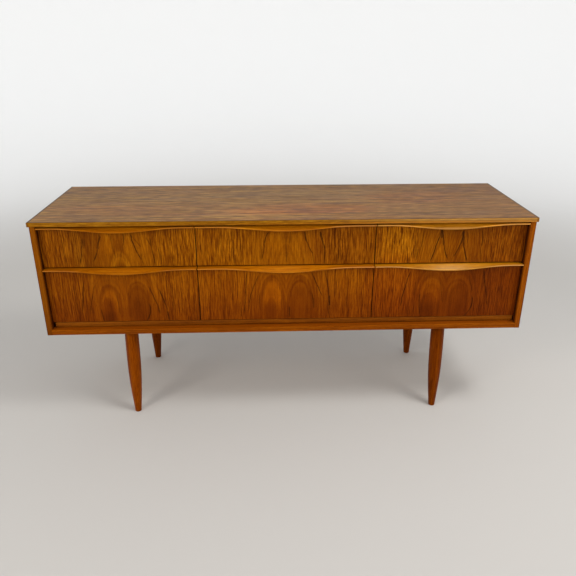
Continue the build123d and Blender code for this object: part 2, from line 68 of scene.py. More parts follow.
class Tree:
    """One material's node tree, built with short calls."""

    def __init__(self, name):
        """Starts an empty material of this name."""
        self.material = bpy.data.materials.new(name)
        self.material.use_nodes = True
        self.nodes = self.material.node_tree.nodes
        self.links = self.material.node_tree.links
        self.nodes.clear()

    def put(self, socket, value):
        """Links a socket into this one, or sets its own value."""
        if isinstance(value, bpy.types.NodeSocket):
            self.links.new(value, socket)
        else:
            socket.default_value = value

    def add(self, kind, inputs=None, **settings):
        """Adds a shader node, sets its properties, and fills the inputs given by name or number."""
        node = self.nodes.new("ShaderNode" + kind)
        for key, value in settings.items():
            setattr(node, key, value)
        for key, value in (inputs or {}).items():
            self.put(node.inputs[key], value)
        return node

    def math(self, operation, *values):
        """The result of one Math node on sockets or numbers."""
        node = self.add("Math", operation=operation)
        for socket, value in zip(node.inputs, values):
            self.put(socket, value)
        return node.outputs[0]

    def smooth(self, value, low, high, start=0.0, end=1.0):
        """Goes smoothly from start at low to end at high."""
        node = self.add("MapRange", interpolation_type="SMOOTHSTEP")
        for socket, number in zip(node.inputs, (value, low, high, start, end)):
            self.put(socket, number)
        return node.outputs[0]

    def mix(self, factor, first, second, blend="MIX"):
        """Blends the second colour over the first, by the factor."""
        node = self.add("Mix", data_type="RGBA", blend_type=blend)
        self.put(node.inputs[0], factor)
        self.put(node.inputs[MIX_FIRST_COLOUR], first)
        self.put(node.inputs[MIX_SECOND_COLOUR], second)
        return node.outputs[MIX_RESULT_COLOUR]

    def axes(self):
        """The point's x, y and z in the row frame."""
        place = self.add("TexCoord").outputs["Object"]
        return list(self.add("SeparateXYZ", {0: place}).outputs)

    def noise(self, place, stretch, seed, detail=2.0, roughness=0.5):
        """Noise of a place given as three sockets, scaled by stretch, from 0 to 1."""
        point = self.add("CombineXYZ", dict(enumerate(place))).outputs[0]
        scaled = self.add("VectorMath", operation="MULTIPLY_ADD")
        self.put(scaled.inputs[0], point)
        self.put(scaled.inputs[1], stretch)
        self.put(scaled.inputs[2], (seed * 1.7, seed * 3.1, seed * 2.3))
        texture = self.add("TexNoise", {"Vector": scaled.outputs[0], "Scale": 1.0, "Detail": detail,
                                        "Roughness": roughness})
        return texture.outputs[0]

    def lines(self, value, frequency, seed):
        """Noise of one number, so it follows that number's contours, from 0 to 1."""
        place = self.math("MULTIPLY_ADD", value, frequency, seed * 5.3)
        texture = self.add("TexNoise", {"W": place, "Scale": 1.0, "Detail": 3.0, "Roughness": 0.6},
                           noise_dimensions="1D")
        return texture.outputs[0]

    def ramp(self, value, stops):
        """A colour for each value: stops are (place, linear colour)."""
        node = self.add("ValToRGB", {0: value})
        elements = node.color_ramp.elements
        while len(elements) < len(stops):
            elements.new(0.5)
        for element, (place, colour) in zip(elements, stops):
            element.position = place
            element.color = (*colour, 1.0)
        return node.outputs[0]

    def surface(self, **sockets):
        """Ends the tree with a Principled shader whose sockets are set by name."""
        names = {"colour": "Base Color", "roughness": "Roughness", "normal": "Normal",
                 "metallic": "Metallic", "specular": "Specular IOR Level", "tint": "Specular Tint",
                 "glow": "Emission Color", "glow_strength": "Emission Strength"}
        shader = self.add("BsdfPrincipled", {names[k]: v for k, v in sockets.items()})
        output = self.add("OutputMaterial")
        self.links.new(shader.outputs[0], output.inputs[0])
        return self.material


def linear(red, green, blue):
    """A linear colour from 0-255 display values."""
    return tuple((v / 255 / 12.92) if v <= 10 else ((v / 255 + 0.055) / 1.055) ** 2.4
                 for v in (red, green, blue))


# ---------------------------------------------------------------- woods
WHITE = (1.0, 1.0, 1.0)
WARM = (1.0, 0.5, 0.12)
# For each grain, the axis it runs along and then the two across it.
GRAIN_ORDER = {"x": (0, 1, 2), "y": (1, 0, 2), "z": (2, 0, 1)}
# How strongly the relief shows, its depth, and how round the arrises look, the last two in metres.
WOOD_BUMP = 0.25
PLAIN_BUMP = 0.2
RELIEF = 0.0004
WOOD_ARRIS = 0.0012
PLAIN_ARRIS = 0.0008


def wood(name, grain, colours, seed, figure=None, band=0.3, line_scale=160.0, streak=0.5,
         fine=0.4, broad=0.3, speckle=0.3, flecks=0.0, pores=0.5, hue=0.0, roughness=0.46,
         specular=0.3, wear=0.3, shade=None, tint=(1.0, 0.62, 0.25), across=400.0):
    """Procedural timber. Grain names the axis it runs along, and colours are dark, middle, light.

    Figure is a drawer front's veneer, or none for plain timber. Line scale is how many growth lines
    lie in a metre of plain timber, and across is how many streaks lie in a metre across the grain.
    Band, streak, fine, broad and speckle weigh the layers of tone. Shade is a function that tints
    the finished colour by place.
    """
    t = Tree(name)
    xyz = t.axes()
    whole = [xyz[i] for i in GRAIN_ORDER[grain]]
    sway = t.math("SUBTRACT", t.noise(whole, (3.0, 11.0, 11.0), seed, detail=2.0), 0.5)
    if figure is None:
        place = whole
        field = t.math("MULTIPLY_ADD", sway, 0.03, t.math("MULTIPLY_ADD", whole[2], 0.8, whole[1]))
        lines = t.lines(field, line_scale, seed)
        side = ends = 1.0
    else:
        place, field, side, ends = figure.leaves(t, xyz, seed)
        lines = t.lines(field, 1.0, seed)
        band = t.math("MULTIPLY", t.math("MULTIPLY_ADD", side, -0.4, 1.1), band)
    fleck = t.noise(place, (30.0, 330.0, 330.0), seed + 1, detail=2.0, roughness=0.65)
    clouds = t.noise(whole, (2.5, 24.0, 24.0), seed + 2, detail=3.0)
    streaks = t.noise(place, (6.0, across, across), seed + 3, detail=2.0, roughness=0.6)
    layers = ((lines, band),
              (clouds, broad),
              (streaks, t.math("MULTIPLY", side, streak)),
              (t.noise(place, (22.0, across * 2, across * 2), seed + 4, detail=1.0, roughness=0.6),
               t.math("MULTIPLY", side, fine)),
              (fleck, t.math("MULTIPLY", side, speckle)))
    tone = 0.5
    for value, weight in layers:
        tone = t.math("MULTIPLY_ADD", t.math("SUBTRACT", value, 0.5), weight, tone)
    dark, middle, light = colours
    colour = t.ramp(tone, ((0.25, dark), (0.5, middle), (0.75, light)))
    if hue:
        turn = t.noise(whole, (1.6, 46.0, 46.0), seed + 11, detail=2.0, roughness=0.6)
        colour = t.mix(t.smooth(turn, 0.46, 0.64, 0.0, hue), colour, (1.04, 0.86, 1.0, 1.0), "MULTIPLY")
        colour = t.mix(t.smooth(turn, 0.54, 0.36, 0.0, hue), colour, (0.97, 1.0, 0.76, 1.0), "MULTIPLY")
    if flecks:
        cloud = t.smooth(t.noise(place, (5.0, 12.0, 12.0), seed + 10), 0.40, 0.60, 0.3, 1.0)
        amount = t.math("MULTIPLY", t.math("MULTIPLY", cloud, ends), t.math("MULTIPLY", side, flecks))
        colour = t.mix(t.math("MULTIPLY", t.smooth(fleck, 0.52, 0.66), amount), colour,
                       (*[c * 1.4 for c in light], 1.0))
        colour = t.mix(t.math("MULTIPLY", t.smooth(fleck, 0.46, 0.36), amount), colour,
                       (*[c * 0.6 for c in dark], 1.0))
    if figure is not None:
        colour = figure.draw(t, colour, xyz, seed, [c * 0.25 for c in dark])
    pore = t.smooth(t.noise(place, (80.0, 1100.0, 1100.0), seed + 5, detail=1.0), 0.58, 0.72)
    colour = t.mix(t.math("MULTIPLY", pore, pores), colour, (*[c * 0.4 for c in dark], 1.0))
    if shade is not None:
        colour = shade(t, colour, xyz)
    rounded = t.add("Bevel", {"Radius": WOOD_ARRIS}, samples=4).outputs[0]
    flat = t.add("NewGeometry").outputs["Normal"]
    facing = t.add("VectorMath", {0: rounded, 1: flat}, operation="DOT_PRODUCT").outputs["Value"]
    worn = t.math("MULTIPLY", t.smooth(facing, 0.80, 0.99, 1.0, 0.0),
                  t.smooth(t.noise(place, (30.0, 60.0, 60.0), seed + 6, detail=3.0), 0.35, 0.65))
    colour = t.mix(t.math("MULTIPLY", worn, wear), colour, (*[c * 1.25 for c in light], 1.0))
    gloss = t.noise(place, (5.0, 40.0, 40.0), seed + 9, detail=3.0)
    rough = t.math("MULTIPLY_ADD", t.math("SUBTRACT", gloss, 0.5), 0.22, roughness)
    height = t.math("SUBTRACT", t.math("MULTIPLY", streaks, 0.35), pore)
    normal = t.add("Bump", {"Height": height, "Strength": WOOD_BUMP, "Distance": RELIEF,
                            "Normal": rounded}).outputs[0]
    return t.surface(colour=colour, roughness=rough, normal=normal, specular=specular,
                     tint=(*tint, 1.0))


# The growth lines follow the contours of a field, and this many lie in a step of one in it.
LINES_PER_FIELD = 1250.0
# The field's lengths are in metres. Its rise, steepness and climbs are slopes.
SWAY = 0.014
LEAF_AXIS = 0.044
LOOP_FOOT = 0.395
LOOP_RISE = 0.16
SLIP = 0.071
PEAK_AXIS = 0.040
# The slope of the peaks' left sides. Their right sides are twice as steep.
PEAK_STEEPNESS = 0.09
PEAK_ROUNDING = 0.004
PEAK_CLIMB = 0.035
SPREAD_CLIMB = 0.02
# Streaks are faint up to the first distance from the bay's middle, and full from the second.
STREAKED_FROM = (0.07, 0.13)
# Flecks fade to half between these distances from the middle of the case.
FLECKS_FADE = (0.42, 0.62)
# How far drawn shapes wobble, and how far below its shoulder each fades out, in metres.
WOBBLE = 0.008
POOL_FADE = 0.035
RING_FADE = 0.03
# The soft edges of pools and rings, as squared shares of the arch's size.
POOL_EDGE = (0.65, 1.3)
RING_EDGE = (0.05, 0.32)
# Where a line fades out, as shares of its length from halfway.
LINE_ENDS = (0.40, 0.58)
POOL_PALE = (1.35, 1.46, 1.2, 1.0)
POOL_DARK = (0.66, 0.54, 0.6, 1.0)
MM_PER_M = 1000


class Front:
    """The veneer of one drawer front: two leaves side by side, and what is drawn on them.

    The shapes are in millimetres, across from the bay's middle and up from the floor. A line is
    its offset at its top, halfway and at its foot, its top and foot heights, its strength and half
    its width. A pool is an arch-topped patch: its middle, half its width, its crown, the height
    where its sides straighten, and how much paler (or, below zero, darker) it is. A ring is the
    dark outline of such a patch.
    """

    def __init__(self, centre, kind, lines, pools=(), rings=()):
        """Keeps the bay's middle in metres, the kind of figure, and the lists of shapes."""
        self.centre = centre
        self.kind = kind
        self.lines = lines
        self.pools = pools
        self.rings = rings

    def leaves(self, t, xyz, seed):
        """Where a point lies in its leaf, the grain's contour there, and two weights.

        The first weight grows from the middle of the bay to its streaked sides. The second is less
        towards the ends of the case.
        """
        offset = t.math("SUBTRACT", xyz[0], self.centre)
        out = t.math("ABSOLUTE", offset)
        right = t.math("GREATER_THAN", offset, 0.0)
        slipped = t.math("MULTIPLY_ADD", right, -SLIP, t.math("ADD", offset, SLIP))
        leaf = slipped if self.kind == "slipped" else out
        place = [xyz[2], leaf, xyz[1]]
        sway = t.math("SUBTRACT", t.noise(place, (6.0, 16.0, 16.0), seed, detail=3.0), 0.5)
        leaf = t.math("MULTIPLY_ADD", sway, SWAY, leaf)
        if self.kind == "looped":
            beside = t.math("SUBTRACT", leaf, LEAF_AXIS)
            square = t.math("MULTIPLY", beside, beside)
            rise = t.math("MAXIMUM", t.math("SUBTRACT", xyz[2], LOOP_FOOT), 0.0)
            rise = t.math("MULTIPLY", rise, rise)
            field = t.math("MULTIPLY_ADD", rise, LOOP_RISE, square)
        elif self.kind == "slipped":
            beside = t.math("SUBTRACT", leaf, PEAK_AXIS)
            square = t.math("MULTIPLY", beside, beside)
            point = t.math("SQRT", t.math("ADD", square, PEAK_ROUNDING ** 2))
            steep = t.math("MULTIPLY_ADD", t.math("GREATER_THAN", beside, 0.0), PEAK_STEEPNESS,
                           PEAK_STEEPNESS)
            climb = t.math("MULTIPLY_ADD", xyz[2], PEAK_CLIMB, square)
            field = t.math("MULTIPLY_ADD", point, steep, climb)
        else:
            field = t.math("MULTIPLY_ADD", xyz[2], SPREAD_CLIMB, t.math("MULTIPLY", leaf, leaf))
        side = t.smooth(out, *STREAKED_FROM, 0.3, 1.0)
        ends = t.smooth(t.math("ABSOLUTE", xyz[0]), *FLECKS_FADE, 1.0, 0.5)
        return place, t.math("MULTIPLY", field, LINES_PER_FIELD), side, ends

    def arch(self, t, offset, height, middle, half_width, crown, shoulder):
        """Squared distance from an arch's middle: 1 on its outline, less inside it."""
        beside = t.math("SUBTRACT", offset, middle / MM_PER_M)
        beside = t.math("MULTIPLY", beside, MM_PER_M / half_width)
        above = t.math("MAXIMUM", t.math("SUBTRACT", height, shoulder / MM_PER_M), 0.0)
        above = t.math("MULTIPLY", above, MM_PER_M / (crown - shoulder))
        return t.math("MULTIPLY_ADD", beside, beside, t.math("MULTIPLY", above, above))

    def draw(self, t, colour, xyz, seed, ink):
        """Adds the pools, the rings and the dark growth lines."""
        whole = [xyz[2], xyz[0], xyz[1]]
        wobble = t.math("SUBTRACT", t.noise(whole, (26.0, 30.0, 30.0), seed + 8, detail=3.0), 0.5)
        offset = t.math("SUBTRACT", xyz[0], self.centre)
        offset = t.math("MULTIPLY_ADD", wobble, WOBBLE, offset)
        for *shape, strength in self.pools:
            arch = self.arch(t, offset, xyz[2], *shape)
            inside = t.smooth(arch, *POOL_EDGE, abs(strength), 0.0)
            if strength > 0:
                shoulder = shape[3] / MM_PER_M
                above = t.smooth(xyz[2], shoulder - POOL_FADE, shoulder)
                inside = t.math("MULTIPLY", inside, above)
            colour = t.mix(inside, colour, POOL_PALE if strength > 0 else POOL_DARK, "MULTIPLY")
        for *shape, strength in self.rings:
            arch = self.arch(t, offset, xyz[2], *shape)
            away = t.math("ABSOLUTE", t.math("SUBTRACT", arch, 1.0))
            shoulder = shape[3] / MM_PER_M
            above = t.smooth(xyz[2], shoulder - RING_FADE, shoulder)
            ring = t.math("MULTIPLY", t.smooth(away, *RING_EDGE, strength, 0.0), above)
            colour = t.mix(ring, colour, POOL_DARK, "MULTIPLY")
        mask = 0.0
        for top, middle, foot, high, low, strength, half_width in self.lines:
            bow = (middle - (top + foot) / 2) * 4
            up = t.math("SUBTRACT", xyz[2], low / MM_PER_M)
            up = t.math("DIVIDE", up, (high - low) / MM_PER_M)
            line = t.math("MULTIPLY_ADD", up, -bow / MM_PER_M, (top - foot + bow) / MM_PER_M)
            line = t.math("MULTIPLY_ADD", up, line, foot / MM_PER_M)
            away = t.math("ABSOLUTE", t.math("SUBTRACT", offset, line))
            inked = t.smooth(away, 0.0, half_width / MM_PER_M, strength, 0.0)
            halfway = t.math("ABSOLUTE", t.math("SUBTRACT", up, 0.5))
            ended = t.smooth(halfway, *LINE_ENDS, 1.0, 0.0)
            mask = t.math("MAXIMUM", mask, t.math("MULTIPLY", inked, ended))
        broken = t.noise(whole, (40.0, 90.0, 90.0), seed + 7, detail=2.0)
        mask = t.math("MULTIPLY", mask, t.smooth(broken, 0.30, 0.52, 0.5, 1.0))
        return t.mix(mask, colour, (*ink, 1.0))


TEAK_UPPER = (linear(80, 30, 0), linear(128, 65, 0), linear(170, 102, 8))
TEAK_LOWER = (linear(86, 30, 0), linear(130, 62, 0), linear(160, 88, 4))
TEAK_TOP = (linear(86, 52, 16), linear(126, 84, 30), linear(160, 118, 54))
TEAK_SIDE = (linear(90, 40, 2), linear(134, 72, 6), linear(168, 104, 20))
TEAK_SOLID = (linear(92, 50, 0), linear(136, 84, 4), linear(174, 122, 24))
TEAK_UPRIGHT = (linear(94, 38, 0), linear(134, 66, 0), linear(160, 88, 4))
TEAK_LIP = (linear(112, 54, 0), linear(152, 82, 1), linear(180, 110, 8))
# A paler copy of the lip colours for the right bay: a painted highlight.
TEAK_LIP_PAINTED_LIT = (linear(116, 64, 0), linear(158, 96, 4), linear(188, 124, 18))
TEAK_EDGE = (linear(90, 34, 0), linear(129, 60, 0), linear(160, 86, 4))
TEAK_LEG = (linear(66, 22, 0), linear(104, 42, 0), linear(134, 64, 2))
# A paler copy of the leg colours for the front left leg: painted light from the left.
TEAK_LEG_PAINTED_LIT = (linear(82, 31, 0), linear(128, 57, 0), linear(156, 80, 3))
TEAK_RAIL = (linear(78, 30, 0), linear(114, 55, 0), linear(144, 78, 4))
BOARD = (linear(112, 74, 44), linear(146, 104, 68), linear(170, 130, 92))
PINE = (linear(176, 132, 82), linear(206, 168, 116), linear(224, 192, 144))
BIRCH = (linear(178, 140, 96), linear(204, 170, 124), linear(222, 194, 152))


def assign(material, *names):
    """Gives the CAD pieces this material, on their objects' own slots."""
    for name in names:
        piece = NODES[name]
        for slot in piece.material_slots:
            slot.link = "OBJECT"
            slot.material = material


def plain(name, dark, light, scale, roughness, metallic=0.0, specular=0.5):
    """A mottled material without grain, for hardboard and steel."""
    t = Tree(name)
    xyz = t.axes()
    mottle = t.noise(xyz, (scale, scale, scale), 1, detail=5.0, roughness=0.65)
    cloud = t.noise(xyz, (6.0, 6.0, 6.0), 2, detail=3.0)
    tone = t.math("MULTIPLY_ADD", t.math("SUBTRACT", cloud, 0.5), 0.35, mottle)
    colour = t.ramp(tone, ((0.3, dark), (0.7, light)))
    rounded = t.add("Bevel", {"Radius": PLAIN_ARRIS}, samples=4).outputs[0]
    normal = t.add("Bump", {"Height": mottle, "Strength": PLAIN_BUMP, "Distance": RELIEF,
                            "Normal": rounded}).outputs[0]
    rough = t.math("MULTIPLY_ADD", t.math("SUBTRACT", mottle, 0.5), 0.25, roughness)
    return t.surface(colour=colour, roughness=rough, normal=normal, metallic=metallic,
                     specular=specular)


# ---------------------------------------------------------------- pieces
SIDE_BAY = 0.50625
FRONTS = {
    "upper_left": Front(-SIDE_BAY, "spread", (
        (-106, -112, -120, 627, 548, 0.9, 3.0), (-99, -101, -104, 626, 598, 0.6, 3.0),
        (-53, -61, -79, 642, 556, 0.95, 3.0), (-51, -57, -65, 634, 596, 0.9, 4.2),
        (19, 18, 13, 642, 604, 0.8, 3.0), (11, 5, -2, 602, 545, 0.4, 3.0),
        (-20, -17, -12, 636, 568, 0.5, 3.0), (41, 47, 64, 642, 560, 1.0, 3.4),
        (46, 55, 66, 632, 600, 0.6, 3.0), (66, 67, 70, 578, 545, 0.6, 2.6),
        (86, 93, 100, 630, 600, 0.6, 3.2), (97, 102, 106, 628, 542, 0.75, 3.2),
        (114, 121, 125, 618, 545, 0.45, 2.6), (-165, -164, -163, 645, 542, 0.5, 2.6),
        (-186, -187, -187, 640, 545, 0.35, 2.4), (150, 152, 152, 640, 560, 0.4, 2.6)),
        ((-38, 20, 650, 600, 0.75), (30, 13, 640, 590, 0.4), (82, 12, 640, 600, 0.3),
         (-90, 15, 650, 600, -0.35), (0, 14, 640, 590, -0.25))),
    "upper_centre": Front(0.0, "spread", (
        (-54, -64, -67, 642, 598, 0.9, 3.2), (-65, -70, -75, 604, 556, 0.8, 3.0),
        (-77, -77, -79, 622, 556, 0.5, 2.8), (57, 59, 61, 642, 612, 1.0, 3.8),
        (62, 71, 80, 614, 572, 0.75, 3.2), (80, 82, 84, 578, 544, 0.5, 2.8),
        (103, 106, 110, 642, 616, 1.0, 5.5), (109, 114, 118, 618, 588, 1.0, 3.6),
        (117, 118, 119, 596, 538, 0.95, 2.8), (0, 0, 2, 626, 544, 0.5, 3.0),
        (14, 12, 10, 642, 606, 0.5, 2.8), (-139, -138, -140, 625, 544, 0.45, 2.6),
        (-161, -159, -158, 645, 545, 0.45, 2.6), (-196, -197, -196, 650, 560, 0.4, 2.6),
        (160, 161, 162, 645, 544, 0.6, 2.8), (148, 149, 150, 640, 545, 0.4, 2.6),
        (188, 189, 189, 640, 550, 0.35, 2.6)),
        ((-35, 24, 655, 600, 0.6), (36, 20, 640, 590, 0.45), (100, 14, 620, 590, -0.5))),
    "upper_right": Front(SIDE_BAY, "slipped", (
        (-33, -45, -58, 638, 542, 1.0, 3.4), (-27, -20, -6, 634, 548, 0.95, 3.2),
        (-30, -30, -31, 645, 618, 1.0, 7.0), (36, 35, 32, 640, 598, 1.0, 5.5),
        (34, 27, 13, 614, 558, 0.95, 3.2), (38, 44, 56, 624, 542, 1.0, 3.4),
        (45, 50, 51, 638, 598, 0.6, 3.0), (-86, -88, -92, 642, 588, 0.65, 3.0),
        (-101, -101, -104, 584, 545, 0.7, 3.0), (-108, -108, -107, 612, 556, 0.6, 2.6),
        (93, 97, 98, 638, 588, 0.75, 3.2), (96, 98, 102, 588, 542, 0.6, 3.0),
        (190, 190, 192, 640, 542, 0.6, 2.8), (162, 161, 160, 645, 576, 0.5, 2.8),
        (-155, -154, -152, 652, 615, 0.6, 2.8), (-176, -177, -178, 640, 560, 0.35, 2.6)),
        ((-28, 17, 600, 560, 0.6), (38, 12, 590, 560, 0.4), (78, 14, 650, 600, -0.35))),
    "lower_left": Front(-SIDE_BAY, "looped", (
        (-119, -127, -136, 488, 385, 0.95, 2.8), (-85, -100, -109, 478, 386, 0.7, 3.0),
        (-23, -20, -19, 442, 378, 0.65, 2.6), (-76, -74, -70, 394, 352, 0.8, 3.4),
        (76, 77, 64, 412, 352, 0.85, 3.6), (79, 95, 107, 468, 378, 0.75, 3.6),
        (111, 127, 133, 458, 352, 1.0, 3.2), (-150, -151, -152, 500, 390, 0.4, 2.4),
        (-186, -187, -188, 480, 420, 0.5, 2.4), (148, 151, 154, 480, 380, 0.45, 2.6),
        (176, 177, 178, 500, 380, 0.35, 2.4)),
        ((-46, 28, 458, 402, 0.9), (-54, 17, 434, 395, -0.75), (45, 32, 470, 425, -0.45),
         (-4, 12, 500, 420, 0.35), (100, 8, 470, 420, 0.4)),
        ((45, 30, 484, 440, 0.6), (-44, 33, 474, 420, 0.5), (-44, 42, 492, 430, 0.4))),
    "lower_centre": Front(0.0, "looped", (
        (-123, -128, -136, 508, 370, 0.8, 2.8), (-145, -144, -143, 412, 362, 0.6, 2.8),
        (-87, -109, -119, 500, 384, 0.85, 3.0), (-84, -84, -83, 442, 384, 0.5, 2.8),
        (10, 11, 11, 394, 358, 0.8, 3.0), (81, 96, 112, 506, 432, 0.9, 2.8),
        (124, 134, 138, 508, 354, 0.75, 3.0), (137, 138, 138, 430, 396, 1.0, 3.6),
        (80, 86, 88, 442, 388, 0.6, 4.0), (-15, -14, -12, 452, 352, 0.45, 2.4),
        (-206, -207, -208, 510, 420, 0.5, 2.4), (-167, -168, -168, 500, 400, 0.35, 2.4),
        (190, 191, 190, 500, 380, 0.35, 2.4), (155, 156, 156, 510, 430, 0.4, 2.4)),
        ((-42, 27, 489, 425, 0.95), (-47, 15, 428, 388, -0.8), (42, 30, 470, 420, -0.4),
         (-100, 14, 500, 400, -0.3), (-20, 6, 430, 400, 0.5), (170, 20, 520, 470, 0.25)),
        ((42, 27, 481, 440, 0.75), (-42, 33, 500, 440, 0.4), (42, 36, 497, 440, 0.35))),
    "lower_right": Front(SIDE_BAY, "looped", (
        (-117, -131, -140, 508, 392, 0.95, 2.8), (-98, -99, -101, 472, 428, 0.5, 2.8),
        (-80, -80, -76, 432, 360, 0.85, 3.2), (88, 89, 72, 420, 354, 1.0, 3.4),
        (114, 127, 141, 510, 388, 0.9, 2.8), (-20, -13, -5, 472, 400, 0.5, 2.8),
        (69, 78, 84, 492, 438, 0.5, 3.0), (-62, -68, -66, 470, 400, 0.3, 2.4),
        (-168, -169, -170, 500, 400, 0.35, 2.4), (-190, -191, -190, 490, 380, 0.35, 2.4),
        (176, 177, 178, 500, 400, 0.35, 2.4)),
        ((-46, 33, 479, 415, 0.8), (-53, 22, 430, 388, -0.6), (38, 36, 462, 400, -0.3)),
        ((38, 34, 478, 430, 0.6), (-46, 40, 492, 430, 0.45), (-52, 24, 432, 395, 0.5))),
}
LIP_GLOSS = {"left": 0.08, "centre": 0.2, "right": 0.62}
# Places that the shades below follow, in metres from the whole piece's top, ends and front.
TOP_FACE = (TOP_Z - 0.0014, TOP_Z - 0.0001)
TOP_REDDER_BELOW = (TOP_Z - 0.0065, TOP_Z - 0.0085)
TOP_STREAK = TOP_Z - 0.0102
TOP_END = (END_X - 0.0075, END_X - 0.0055)
UPRIGHT_CORNER = (END_X - 0.0085, END_X - 0.0065)
SIDE_INNER_FACE = (END_X - 0.0208, END_X - 0.0200)
BOARD_EDGING = (FRONT_Y + 0.034, FRONT_Y + 0.044)
LIP_NOSE = (FRONT_Y + 0.0050, FRONT_Y + 0.0034)
LIP_UPPER_FACE = (TOP_Z - 0.0295, TOP_Z - 0.0240)
LIP_UPPER_EDGE = (TOP_Z - 0.0252, TOP_Z - 0.0225)
LIP_LOWER_EDGE = (TOP_Z - 0.1582, TOP_Z - 0.1555)
BETWEEN_ROWS = TOP_Z - 0.085
# The streak in the top's lippings: how far it sways up, and its soft half width, in metres.
TOP_STREAK_SWAY = 0.006
TOP_STREAK_EDGE = (0.0004, 0.0018)
# The shades change across the first divider, between these places along the case.
LEFT_BAY_ENDS = (-0.32, -0.22)
RED_WEAR = (1.12, 0.86, 0.62)
# The grey tint is partly wear and partly a painted reflection of the pale room.
GREY_WEAR_AND_SHEEN = (0.92, 1.0, 1.35)
PALE_WEAR = (1.22, 1.26, 1.3)
# Each patch: its middle across and along, its half widths, its tint and its strength.
TOP_PATCHES = ((0.05, -0.11, 0.24, 0.07, RED_WEAR, 0.8), (-0.52, -0.10, 0.22, 0.06, RED_WEAR, 0.35),
               (0.45, 0.02, 0.20, 0.07, RED_WEAR, 0.4), (0.0, 0.07, 0.30, 0.05, GREY_WEAR_AND_SHEEN, 0.7),
               (-0.22, -0.16, 0.26, 0.06, PALE_WEAR, 0.7), (0.48, -0.17, 0.25, 0.03, GREY_WEAR_AND_SHEEN, 0.6))
FRONT_PATCHES = ((0.165, 0.60, 0.13, 0.09, (0.82, 0.74, 1.0), 1.0),
                 (0.33, 0.60, 0.07, 0.09, (1.2, 1.28, 1.4), 1.0),
                 (-0.61, 0.60, 0.05, 0.10, (0.80, 0.78, 1.0), 1.0),
                 (-0.50, 0.44, 0.28, 0.14, (1.04, 1.12, 0.95), 1.0),
                 (0.0, 0.44, 0.30, 0.13, (1.15, 1.22, 1.0), 1.0),
                 (0.11, 0.43, 0.07, 0.12, (0.84, 0.80, 1.0), 1.0),
                 (0.42, 0.39, 0.09, 0.06, (0.92, 0.86, 0.9), 1.0),
                 (0.34, 0.46, 0.10, 0.12, (1.06, 0.94, 1.0), 1.0),
                 (0.60, 0.44, 0.10, 0.12, (0.88, 0.84, 0.8), 1.0))


def patched(t, colour, across, along, patches, cloud):
    """Tints ovals whose edges follow the cloud."""
    for middle, level, width, depth, tint, strength in patches:
        beside = t.math("DIVIDE", t.math("SUBTRACT", across, middle), width)
        beyond = t.math("DIVIDE", t.math("SUBTRACT", along, level), depth)
        away = t.math("MULTIPLY_ADD", beside, beside, t.math("MULTIPLY", beyond, beyond))
        away = t.math("MULTIPLY_ADD", t.math("SUBTRACT", cloud, 0.5), 2.4, away)
        colour = t.mix(t.smooth(away, 0.2, 1.3, strength, 0.0), colour, (*tint, 1.0), "MULTIPLY")
    return colour


def painted_front_shade(t, colour, xyz):
    """Painted shade: the fronts grow darker and redder towards the floor and the case's ends."""
    low = t.smooth(xyz[2], 0.36, 0.53, 1.0, 0.0)
    right = t.smooth(xyz[0], 0.30, 0.74, 0.0, 0.9)
    left = t.smooth(xyz[0], -0.72, -0.50, 0.45, 0.0)
    amount = t.math("MAXIMUM", low, t.math("MAXIMUM", left, right))
    colour = t.mix(amount, colour, (0.66, 0.50, 0.5, 1.0), "MULTIPLY")
    # Painted shade: the lower drawer at the right is darker still towards its right.
    corner = t.math("MULTIPLY", t.smooth(xyz[0], 0.36, 0.66), t.smooth(xyz[2], 0.56, 0.50))
    colour = t.mix(corner, colour, (0.86, 0.72, 0.7, 1.0), "MULTIPLY")
    return patched(t, colour, xyz[0], xyz[2], FRONT_PATCHES, 0.5)


def top_wear_and_painted_sheen(t, colour, xyz):
    """The top is darker to the right and the back, with worn patches; the grey ones add painted
    reflection.
    """
    colour = t.mix(t.smooth(xyz[0], -0.3, 0.8), colour, (0.80, 0.73, 0.62, 1.0), "MULTIPLY")
    colour = t.mix(t.smooth(xyz[1], -0.05, 0.22), colour, (0.90, 0.90, 0.88, 1.0), "MULTIPLY")
    cloud = t.noise(xyz, (4.0, 9.0, 9.0), 31.0, detail=3.0)
    return patched(t, colour, xyz[0], xyz[1], TOP_PATCHES, cloud)


def topped(t, colour, xyz):
    """The top's lippings are paler to the right, as a painted highlight, greyer above, and darker on
    the very ends.

    They have a dark streak along the middle and are redder below it, more so to the right.
    """
    # Painted highlight: the lippings are mixed towards pale tan to the right.
    colour = t.mix(t.smooth(xyz[0], -0.05, 0.7, 0.0, 0.34), colour, (*linear(206, 160, 96), 1.0))
    right = t.smooth(xyz[0], -0.4, 0.4, 0.35, 1.0)
    middle = t.math("MULTIPLY_ADD", t.noise(xyz, (3.0, 3.0, 3.0), 41.0), TOP_STREAK_SWAY, TOP_STREAK)
    below = t.math("MULTIPLY", t.smooth(xyz[2], *TOP_REDDER_BELOW), right)
    colour = t.mix(below, colour, (1.04, 0.84, 0.5, 1.0), "MULTIPLY")
    beside = t.math("ABSOLUTE", t.math("SUBTRACT", xyz[2], middle))
    streak = t.math("MULTIPLY", t.smooth(beside, *TOP_STREAK_EDGE, 0.8, 0.0), right)
    colour = t.mix(streak, colour, (0.55, 0.5, 0.4, 1.0), "MULTIPLY")
    up = t.smooth(xyz[2], *TOP_FACE)
    colour = t.mix(up, colour, (*TEAK_TOP[0], 1.0))
    end = t.smooth(t.math("ABSOLUTE", xyz[0]), *TOP_END)
    return t.mix(end, colour, (0.60, 0.56, 0.6, 1.0), "MULTIPLY")


